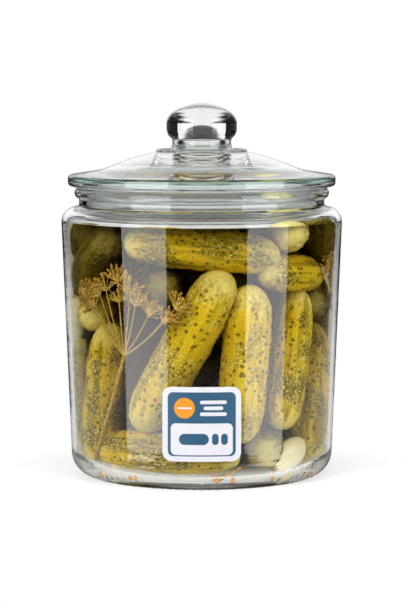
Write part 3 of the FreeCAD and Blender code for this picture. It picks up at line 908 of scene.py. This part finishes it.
class JAR_OT_pickles(bpy.types.Operator):
    """Add the pickles: those against the front wall, then rows that fill the sides and the core"""

    bl_idname = "storage_jar.pickles"
    bl_label = "Pickles"

    def execute(self, context):
        jar = context.scene.jar_glass_sizes
        sizes = context.scene.filling_sizes
        colours = context.scene.jar_colours
        # name: lit and shaded colour, how pale its speckle and ends are, how much is shaded
        skins = {
            "bright": (colours.flesh, colours.olive, 0.75, 0.36),
            "pale": (colours.tip, colours.flesh, 0.9, 0.45),
            "mid": (colours.flesh, colours.olive, 0.7, 0.64),
            # dark olive skin: partly a pickle's own darker tone, partly painted shade on pickles at
            # the jar's edges and behind the front ones
            "dark": (colours.olive, colours.deep, 0.25, 0.62),
            "grey": (colours.olive, colours.deep, 0.45, 0.45),
            # painted shade: pickles deep in the jar take the darkest skin, for the shade that falls
            # between them
            "hidden": (colours.deep, colours.spot, 0.05, 0.6),
        }
        materials = {
            name: pickle_material(f"pickle_{name}", colours, *skin)
            for name, skin in skins.items()
        }
        rng = random.Random(sizes.seed)
        for name, (*ends, thickness, hug, skin) in FRONT_PICKLES.items():
            pickle = Pickle(jar, ends, thickness, hug, rng)
            add_food(f"pickle_{name}", pickle, sizes, materials[skin])

        number = 0
        for first, last, step, low, high, depth in FILLER_ROWS:
            azimuth = first
            while azimuth <= last:
                lean = rng.uniform(-8.0, 8.0)
                shift = rng.uniform(-4.0, 4.0)
                ends = (
                    (azimuth + lean, high + shift - rng.uniform(0, 6), depth + rng.uniform(-1, 2)),
                    (azimuth - lean, low + max(shift, 0.0), depth + rng.uniform(-1, 2)),
                )
                number += 1
                thickness = rng.uniform(22.0, 27.5)
                pickle = Pickle(jar, ends, thickness, hug=0.4, rng=rng)
                skin = materials[rng.choice(("mid", "mid", "dark", "bright"))]
                add_food(f"pickle_filler_{number:02d}", pickle, sizes, skin, detail=0.7)
                azimuth += step
        return {"FINISHED"}


# ---------------------------------------------------------------- label

def flat_sheet(wide, high, corner):
    """A round-cornered sheet with its print in millimetres, cut into strips that can bend."""
    mesh = bmesh.new()
    bmesh.ops.create_grid(mesh, x_segments=1, y_segments=1, size=1.0)
    bmesh.ops.scale(mesh, vec=(wide, high, 1.0), verts=mesh.verts)
    bmesh.ops.bevel(
        mesh, geom=mesh.verts[:], offset=corner, offset_type="OFFSET", segments=10,
        profile=0.5, affect="VERTICES", material=-1,
    )
    strips = 24
    for number in range(1, strips):
        across = -wide + 2.0 * wide * number / strips
        geometry = mesh.verts[:] + mesh.edges[:] + mesh.faces[:]
        bmesh.ops.bisect_plane(mesh, geom=geometry, plane_co=(across, 0.0, 0.0),
                               plane_no=(1.0, 0.0, 0.0))
    uv = mesh.loops.layers.uv.new("print")
    for face in mesh.faces:
        for loop in face.loops:
            loop[uv].uv = (loop.vert.co.x / MM, loop.vert.co.y / MM)
    return mesh


class JAR_OT_label(bpy.types.Operator):
    """Add the label: a thin rounded sheet that follows the wall, printed with plain shapes"""

    bl_idname = "storage_jar.label"
    bl_label = "Label"

    def execute(self, context):
        jar = context.scene.jar_glass_sizes
        label = context.scene.label_sizes
        high = (LABEL_HIGH - LABEL_LOW) / 2.0
        wide = label.width / 2.0
        mesh = flat_sheet(wide, high, label.corner)
        middle = (LABEL_HIGH + LABEL_LOW) / 2.0
        glue = 0.02 * MM
        for vert in mesh.verts:
            across, up = vert.co.x, vert.co.y + middle
            radius = wall_outside(jar, up) + glue
            vert.co = (across, -math.sqrt(radius**2 - across**2), up)
        bmesh.ops.recalc_face_normals(mesh, faces=mesh.faces)
        if next(iter(mesh.faces)).normal.y > 0.0:
            bmesh.ops.reverse_faces(mesh, faces=mesh.faces)
        bmesh.ops.solidify(mesh, geom=mesh.faces[:], thickness=label.thickness)
        bmesh.ops.recalc_face_normals(mesh, faces=mesh.faces)
        printed = label_material(context.scene.jar_colours, label, wide, high)
        piece = new_piece("front_label", mesh, [printed], smooth=False)
        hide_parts("label")
        return {"FINISHED"}


def rounded_box(tree, across, up, half_across, half_up, radius):
    """1 inside a rounded rectangle of the print, in millimetres."""
    out_x = tree.maths("SUBTRACT", tree.maths("ABSOLUTE", across), half_across - radius)
    out_y = tree.maths("SUBTRACT", tree.maths("ABSOLUTE", up), half_up - radius)
    corner = tree.add("ShaderNodeCombineXYZ", {
        "X": tree.maths("MAXIMUM", out_x, 0.0), "Y": tree.maths("MAXIMUM", out_y, 0.0),
    }).outputs[0]
    outside = tree.distance(corner)
    inside = tree.maths("MINIMUM", tree.maths("MAXIMUM", out_x, out_y), 0.0)
    distance = tree.maths("ADD", outside, inside)
    blur = 0.06
    return tree.step(distance, radius - blur, radius + blur, 1.0, 0.0)


def label_material(colours, label, wide, high):
    """A white sheet, a blue field, a pale panel and plain shapes in place of lettering."""
    material, tree = new_material("label_print")
    uv = tree.add("ShaderNodeUVMap", uv_map="print").outputs[0]
    across, up, _ = tree.parts(uv)
    wide, high, border = wide / MM, high / MM, label.border / MM

    def shape(right, above, half_across, half_up, radius):
        """A rounded shape whose middle is to the right of and above the sheet's middle."""
        return rounded_box(
            tree, tree.maths("SUBTRACT", across, right), tree.maths("SUBTRACT", up, above),
            half_across, half_up, radius,
        )

    fibre = tree.noise(uv, 2.2, detail=3.0)
    grey_fibre, dark_ink = (0.62, 0.62, 0.66), (0.03, 0.12, 0.22)
    paper = tree.mix(tree.both(fibre, 0.10), rgba(colours.paper), rgba(grey_fibre))
    ink = tree.mix(tree.both(fibre, 0.25), rgba(colours.blue), rgba(dark_ink))
    orange = rgba(colours.orange)
    panel_up = -9.6
    slice_right, slice_up, slice_radius = -11.0, 10.4, 6.6
    look = paper
    for finish, *box in (
        # the blue field and the pale panel in its lower half
        (ink, 0.0, 0.0, wide - border, high - border, 3.5),
        (paper, 0.0, panel_up, wide - border - 1.9, 10.2, 3.2),
        # a slice of orange, cut once across
        (orange, slice_right, slice_up, slice_radius, slice_radius, slice_radius),
        (paper, slice_right, slice_up, 4.6, 0.5, 0.5),
        # three white strokes
        (paper, 7.4, 14.2, 8.5, 1.15, 1.15),
        (paper, 7.4, 10.4, 6.2, 1.15, 1.15),
        (paper, 7.4, 6.6, 8.5, 1.15, 1.15),
        # a blue bar and two dots on the panel
        (ink, -5.0, panel_up, 9.5, 3.6, 3.6),
        (ink, 8.6, panel_up, 2.1, 3.6, 2.1),
        (ink, 14.4, panel_up, 2.1, 3.6, 2.1),
    ):
        look = tree.mix(shape(*box), look, finish)
    opaque_surface(tree, look, 0.45, tree.bump(0.1, 0.1 * MM, fibre))
    return material


# ---------------------------------------------------------------- garlic, dill and seeds

# name: its two ends as (azimuth, height, distance from the wall's inside), and its thickness
GARLIC = {
    "left": ((-84, 120, 4.5), (-85, 88, 4.5), 12.5),
    "bottom_right": ((36.5, 10.0, 8.6), (60.5, 27.5, 8.6), 17.5),
    "fragment": ((-52, 9, 8), (-46, 9, 12), 5.0),
    "back": ((168, 88, 8), (158, 66, 8), 14.0),
    "right_back": ((118, 126, 8), (122, 104, 8), 13.0),
}


def garlic_material(shade):
    material, tree = new_material("garlic_skin")
    place, along = skin_place(tree)
    lines = tree.noise(tree.vector("MULTIPLY", place, (0.9, 0.9, 0.05)), 1.0, detail=3.0)
    skin = tree.mix(tree.both(tree.step(lines, 0.35, 0.7), 0.35), rgba(shade),
                    rgba(linear(226, 204, 150)))
    root = tree.both(tree.step(along, -0.82, -0.97), 0.8)
    skin = tree.mix(root, skin, rgba(linear(150, 108, 52)))
    opaque_surface(tree, skin, 0.38, tree.bump(0.3, 0.3 * MM, lines))
    return material


class Clove(Pickle):
    """A garlic clove: a flat root, a drawn-out tip and a flattened side."""

    def forward(self, share):
        return (self.centre(1.0) - self.centre(0.0)).normalized()

    def section(self, along, turn):
        round_end = math.sqrt(max(0.0, 1.0 - along**4))
        thick = round_end * (1.0 - 0.42 * max(0.0, along) ** 1.4 - 0.10 * max(0.0, -along))
        ridge = 1.0 + 0.10 * math.cos(2.0 * turn) + 0.06 * math.cos(3.0 * turn + self.phase)
        depth = self.radius / MM * thick * ridge
        skin = Vector((depth * math.cos(turn), depth * math.sin(turn), self.half / MM * along))
        skin += self.seed
        return skin, depth + 0.35 * noise.noise(skin * 0.22) * thick


class JAR_OT_garlic(bpy.types.Operator):
    """Add the garlic cloves between the pickles and the wall"""

    bl_idname = "storage_jar.garlic"
    bl_label = "Garlic"

    def execute(self, context):
        jar = context.scene.jar_glass_sizes
        sizes = context.scene.filling_sizes
        material = garlic_material(context.scene.jar_colours.garlic)
        rng = random.Random(sizes.seed + 1)
        for name, (*ends, thickness) in GARLIC.items():
            clove = Clove(jar, ends, thickness, hug=0.3, rng=rng)
            add_food(f"garlic_{name}", clove, sizes, material, detail=0.6)
        return {"FINISHED"}


# a stem from foot to node, then the middles of its seed heads: (azimuth, height, distance
# from the wall's inside)
DILL = {
    "left": {
        "stem": ((-63, 12, 5), (-45.3, 49.7, 1.8), (-35.7, 86.4, 1.8)),
        "heads": (
            (-59.2, 122.5, 1.8), (-49.8, 123.5, 3.0), (-38.2, 133.6, 1.8), (-38.8, 120.1, 4.0),
            (-29.5, 118.4, 1.8), (-17.1, 109.2, 1.8), (-11.5, 117.3, 1.8), (-32.2, 126.5, 2.4),
            (-23.6, 112.5, 2.4), (-45.3, 127.0, 2.4), (-53.8, 117.0, 3.2),
        ),
    },
    "right": {
        "stem": ((84, 112, 2.0), (82, 117, 2.0), (79, 121, 2.0)),
        "heads": ((72.0, 138.0, 2), (80.0, 135.0, 2), (86.0, 128.0, 2)),
    },
    "back": {
        "stem": ((190, 20, 3), (182, 60, 3), (176, 92, 3)),
        "heads": ((160, 126, 3), (171, 134, 3), (184, 132, 3), (196, 122, 3)),
    },
}


def dry_material(name, shade, dark):
    material, tree = new_material(name)
    place = tree.add("ShaderNodeTexCoord").outputs["Object"]
    fibre = tree.noise(place, 900.0, detail=2.0)
    look = tree.mix(tree.step(fibre, 0.35, 0.65), rgba(shade), rgba(dark))
    opaque_surface(tree, look, 0.6, tree.bump(0.4, 0.2 * MM, fibre))
    return material


def stem_material(colours):
    """The dry finish that the dill's stems and the bit of stalk share."""
    made = bpy.data.materials.get("dill_stem")
    return made or dry_material("dill_stem", colours.dill, linear(150, 116, 34))


def new_strands(name, resolution):
    """An empty set of round strands, whose points give their radii."""
    curve = bpy.data.curves.new(name, "CURVE")
    curve.dimensions = "3D"
    curve.bevel_depth = 1.0
    curve.bevel_resolution = 2
    curve.resolution_u = resolution
    return curve


def add_strand(curve, points, thick, thin):
    """One tapering stem through the points."""
    spline = curve.splines.new("NURBS")
    spline.points.add(len(points) - 1)
    last = len(points) - 1
    for number, (point, place) in enumerate(zip(spline.points, points)):
        point.co = (*place, 1.0)
        point.radius = thick + (thin - thick) * number / last
    spline.order_u = 3
    spline.use_endpoint_u = True


def strand_mesh(curve):
    """Turns the finished strands into a mesh and takes their curve away."""
    strands = bpy.data.objects.new("strands", curve)
    bpy.context.scene.collection.objects.link(strands)
    bpy.context.view_layer.update()
    data = bpy.data.meshes.new_from_object(strands)
    mesh = bmesh.new()
    mesh.from_mesh(data)
    bpy.data.objects.remove(strands)
    bpy.data.curves.remove(curve)
    bpy.data.meshes.remove(data)
    return mesh


class JAR_OT_dill(bpy.types.Operator):
    """Add the dill: stems, rays and seed heads pressed against the wall"""

    bl_idname = "storage_jar.dill"
    bl_label = "Dill"

    def execute(self, context):
        jar = context.scene.jar_glass_sizes
        colours = context.scene.jar_colours
        stalk = stem_material(colours)
        husk = dry_material("dill_seed", colours.seed, linear(120, 84, 16))
        rng = random.Random(context.scene.filling_sizes.seed + 2)

        for name, plant in DILL.items():
            curve = new_strands(f"dill_{name}", resolution=6)
            seeds = bmesh.new()
            stem = [by_the_wall(jar, *spot) for spot in plant["stem"]]
            add_strand(curve, stem, thick=1.35 * MM, thin=1.1 * MM)
            node = stem[-1]
            for head in plant["heads"]:
                middle = by_the_wall(jar, *head)
                sag = (middle - node).length * 0.12
                bend = (node + middle) / 2.0 + Vector((0.0, 0.0, -sag))
                add_strand(curve, [node, bend, middle], thick=0.50 * MM, thin=0.32 * MM)
                add_seed_head(curve, seeds, node, middle, rng, jar)
            mesh = strand_mesh(curve)
            new_piece(f"dill_{name}_stems", mesh, [stalk])
            new_piece(f"dill_{name}_seeds", seeds, [husk])
        return {"FINISHED"}


def add_seed_head(curve, seeds, node, middle, rng, jar):
    """A head of small rays, each with a seed at its end, opening away from the node."""
    forward = (middle - node).normalized()
    out = Vector((middle.x, middle.y, 0.0)).normalized()
    side = forward.cross(out).normalized()
    limit = wall_inside(jar, middle.z) - 1.4 * MM
    seeds_in_head = 26
    for _ in range(seeds_in_head):
        spread = math.radians(rng.uniform(-75.0, 75.0))
        reach = rng.uniform(6.5, 11.5) * MM
        tilt = rng.uniform(-0.25, 0.25)
        way = (forward * math.cos(spread) + side * math.sin(spread) + out * tilt).normalized()
        end = middle + way * reach
        flat = math.hypot(end.x, end.y)
        if flat > limit:
            end.x *= limit / flat
            end.y *= limit / flat
        add_strand(curve, [middle, (middle + end) / 2.0, end], thick=0.30 * MM, thin=0.25 * MM)
        turn = way.to_track_quat("Z", "Y").to_matrix().to_4x4()
        size = rng.uniform(0.85, 1.15)
        shape = Matrix.Diagonal((1.0 * MM * size, 0.8 * MM * size, 1.8 * MM * size, 1.0))
        bmesh.ops.create_icosphere(
            seeds, subdivisions=1, radius=1.0, matrix=Matrix.Translation(end) @ turn @ shape
        )


class JAR_OT_spices(bpy.types.Operator):
    """Add the small round seeds and the bit of stalk on the floor of the jar"""

    bl_idname = "storage_jar.spices"
    bl_label = "Spices"

    def execute(self, context):
        jar = context.scene.jar_glass_sizes
        colours = context.scene.jar_colours
        spice = dry_material("spice_seed", colours.spice, linear(222, 160, 84))
        rng = random.Random(context.scene.filling_sizes.seed + 3)
        seeds = bmesh.new()
        spots = [(5.7, 9.6), (7.1, 8.2), (14.6, 8.2), (34.9, 8.2), (59.7, 8.4), (63.0, 9.0)]
        spots += [(rng.uniform(80, 330), rng.uniform(8.0, 8.6)) for _ in range(16)]
        for azimuth, up in spots:
            size = rng.uniform(1.2, 1.6) * MM
            place = by_the_wall(jar, azimuth, up, depth=5.0)
            shape = Matrix.Diagonal((size, size, size * 0.9, 1.0))
            bmesh.ops.create_icosphere(
                seeds, subdivisions=2, radius=1.0, matrix=Matrix.Translation(place) @ shape
            )
        new_piece("spice_seeds", seeds, [spice])

        curve = new_strands("stalk_bit", resolution=12)
        curve.use_fill_caps = True
        bent = ((6.6, 8.6, 5.0), (12.5, 10.5, 4.0), (18.4, 15.4, 3.0))
        points = [by_the_wall(jar, *spot) for spot in bent]
        add_strand(curve, points, thick=1.0 * MM, thin=0.7 * MM)
        stalk = stem_material(colours)
        new_piece("stalk_bit", strand_mesh(curve), [stalk])
        return {"FINISHED"}


# ---------------------------------------------------------------- stage

def add_card(name, azimuth, distance, width, low, high, shade, strength):
    """An upright card that only mirror images and refracted light can see."""
    mesh = bmesh.new()
    bmesh.ops.create_grid(mesh, x_segments=1, y_segments=1, size=0.5)
    place = around(azimuth, distance, (low + high) / 2.0)
    turn = Matrix.Rotation(math.radians(azimuth), 4, "Z") @ Matrix.Rotation(math.pi / 2, 4, "X")
    shape = Matrix.Diagonal((width, high - low, 1.0, 1.0))
    bmesh.ops.transform(mesh, matrix=Matrix.Translation(place) @ turn @ shape, verts=mesh.verts)
    material, tree = new_material(name)
    light = tree.add("ShaderNodeEmission", {"Color": rgba(shade), "Strength": strength})
    tree.add("ShaderNodeOutputMaterial", {"Surface": light.outputs[0]})
    card = new_object(name, mesh, [material])
    card.visible_camera = False
    card.visible_diffuse = False
    card.visible_shadow = False
    card.visible_volume_scatter = False
    return card


def add_lamp(name, azimuth, elevation, distance, size, power):
    """A soft lamp that points at the middle of the jar and isn't mirrored by the glass."""
    data = bpy.data.lights.new(name, "AREA")
    data.shape = "RECTANGLE"
    data.size, data.size_y = size
    data.energy = power
    lamp = bpy.data.objects.new(name, data)
    rise = math.radians(elevation)
    middle = 0.1
    lamp.location = around(azimuth, distance * math.cos(rise), middle + distance * math.sin(rise))
    way = Vector((0.0, 0.0, middle)) - lamp.location
    lamp.rotation_euler = way.to_track_quat("-Z", "Y").to_euler()
    bpy.context.scene.collection.objects.link(lamp)
    lamp.visible_glossy = False
    lamp.visible_transmission = False


def add_camera(scene):
    """A long lens a little above the lid, aimed at the middle of the jar."""
    data = bpy.data.cameras.new("camera")
    data.lens = 159.4
    data.sensor_width = 36.0
    camera = bpy.data.objects.new("camera", data)
    camera.location = (-0.0008, -1.760, 0.2725)
    aim = Vector((-0.0008, 0.0, 0.1155))
    camera.rotation_euler = (aim - camera.location).to_track_quat("-Z", "Y").to_euler()
    scene.collection.objects.link(camera)
    scene.camera = camera


def floor_material(shade):
    """A matt floor that takes the jar's shadow and is plain white further out."""
    material, tree = new_material("pale_floor")
    path = tree.add("ShaderNodeLightPath").outputs
    camera, through = path["Is Camera Ray"], path["Is Transmission Ray"]
    place = tree.add("ShaderNodeTexCoord").outputs["Object"]
    # seen in the glass, the floor is bright under and behind the jar only
    parts = tree.parts(place)
    aside = tree.maths("ABSOLUTE", parts["X"])
    behind = tree.both(tree.step(parts["Y"], -0.5, -0.2), tree.step(aside, 0.6, 0.3))
    matt = tree.add("ShaderNodeBsdfDiffuse", {"Color": rgba(shade)})
    white = tree.add("ShaderNodeEmission", {
        "Color": rgba(WHITE),
        "Strength": tree.maths("MULTIPLY_ADD", through, behind, camera),
    })
    # at the foot of the jar the white share is smaller, so that the shadow shows
    at_foot = tree.maths("MULTIPLY_ADD", through, -0.3, 0.5)
    share = tree.step(tree.distance(place), 0.085, 0.16, at_foot, 1.0)
    seen = tree.maths("MAXIMUM", camera, through)
    inputs = {0: tree.both(seen, share), 1: matt.outputs[0], 2: white.outputs[0]}
    mixed = tree.add("ShaderNodeMixShader", inputs)
    tree.add("ShaderNodeOutputMaterial", {"Surface": mixed.outputs[0]})
    return material


def add_floor(shade):
    mesh = bmesh.new()
    bmesh.ops.create_grid(mesh, x_segments=1, y_segments=1, size=6.0)
    floor = new_object("floor", mesh, [floor_material(shade)])
    floor.visible_glossy = False


def new_world():
    """A white backdrop that lights softly; the glass shows it darker overhead and in front."""
    world = bpy.data.worlds.new("studio")
    world.use_nodes = True
    tree = Tree(world.node_tree)
    path = tree.add("ShaderNodeLightPath").outputs
    way = tree.parts(tree.add("ShaderNodeTexCoord").outputs["Generated"])
    camera, through, mirror = (
        path[f"Is {kind} Ray"] for kind in ("Camera", "Transmission", "Glossy")
    )
    # a ray straight through clear glass counts as mirrored too, so it is taken off here
    mirror = tree.both(mirror, tree.maths("SUBTRACT", 1.0, through))
    low = tree.step(tree.maths("ABSOLUTE", way["Z"]), 0.42, 0.75, 1.0, 0.10)
    above = tree.step(way["Z"], -0.02, 0.15, 0.03, 1.0)
    behind = tree.step(way["Y"], -0.35, 0.25, 0.3, 1.0)

    # soft light on matt surfaces, full white to the eye, and the backdrop's shape in the glass
    soft = 0.22
    seen = tree.maths("ADD", camera, tree.maths("ADD", through, mirror))
    level = tree.maths("MULTIPLY_ADD", tree.maths("SUBTRACT", 1.0, seen), soft, camera)
    in_glass = tree.maths("MULTIPLY_ADD", mirror, above, through)
    level = tree.maths("MULTIPLY_ADD", in_glass, tree.both(low, behind), level)
    background = tree.add("ShaderNodeBackground", {"Color": rgba(WHITE), "Strength": level})
    tree.add("ShaderNodeOutputWorld", {"Surface": background.outputs[0]})
    return world


class JAR_OT_stage(bpy.types.Operator):
    """Add the camera, the pale floor, the backdrop, the lamps and the cards that glass mirrors"""

    bl_idname = "storage_jar.stage"
    bl_label = "Stage"

    def execute(self, context):
        scene = context.scene
        scene.view_settings.view_transform = "Standard"
        scene.cycles.max_bounces = 48
        scene.cycles.transmission_bounces = 24
        scene.cycles.transparent_max_bounces = 24
        scene.cycles.glossy_bounces = 32
        scene.cycles.diffuse_bounces = 3
        add_camera(scene)
        add_floor(scene.jar_colours.floor)
        scene.world = new_world()

        # name, azimuth, elevation, distance, width and height, power
        add_lamp("key", -38, 30, 1.3, (0.6, 0.8), 13.0)
        add_lamp("fill", 44, 24, 1.3, (0.6, 0.8), 9.6)
        add_lamp("top", 8, 64, 1.2, (0.9, 0.6), 8.0)
        add_lamp("back", 180, 40, 1.3, (1.0, 0.8), 5.0)
        for side, azimuth, width in (("left", -47.0, 0.83), ("right", 54.0, 0.78)):
            card = add_card(f"softbox_{side}", azimuth, 1.2, width, low=-0.24, high=1.1,
                            shade=WHITE, strength=4.4)
            card.visible_transmission = False
        for side, azimuth in (("left", -117.0), ("right", 117.0)):
            add_card(f"dark_card_{side}", azimuth, 1.2, 1.5, low=-0.2, high=0.9,
                     shade=(0.0, 0.0, 0.0), strength=1.0)
        return {"FINISHED"}


# ---------------------------------------------------------------- panel and start

OPERATORS = (
    JAR_OT_stage, JAR_OT_jar_glass, JAR_OT_lid_glass, JAR_OT_seal, JAR_OT_brine,
    JAR_OT_pickles, JAR_OT_garlic, JAR_OT_dill, JAR_OT_spices, JAR_OT_label,
)


class JAR_PT_panel(bpy.types.Panel):
    """The jar's pieces, and the sizes and colours that they are built from"""

    bl_idname = "JAR_PT_panel"
    bl_label = "Pickle Storage Jar"
    bl_space_type = "VIEW_3D"
    bl_region_type = "UI"
    bl_category = "Jar"

    def draw(self, context):
        column = self.layout.column(align=True)
        for operator in OPERATORS:
            column.operator(operator.bl_idname)
        for name, group in SETTINGS:
            box = self.layout.box()
            box.label(text=group.__doc__)
            for entry in group.__annotations__:
                box.prop(getattr(context.scene, name), entry)


CLASSES = tuple(group for _, group in SETTINGS) + OPERATORS + (JAR_PT_panel,)


def register():
    for cls in CLASSES:
        bpy.utils.register_class(cls)
    for name, group in SETTINGS:
        setattr(bpy.types.Scene, name, bpy.props.PointerProperty(type=group))


def unregister():
    for name, _ in SETTINGS:
        delattr(bpy.types.Scene, name)
    for cls in reversed(CLASSES):
        bpy.utils.unregister_class(cls)


def main():
    register()
    for operator in OPERATORS:
        group, name = operator.bl_idname.split(".")
        getattr(getattr(bpy.ops, group), name)()


if __name__ == "__main__":
    main()
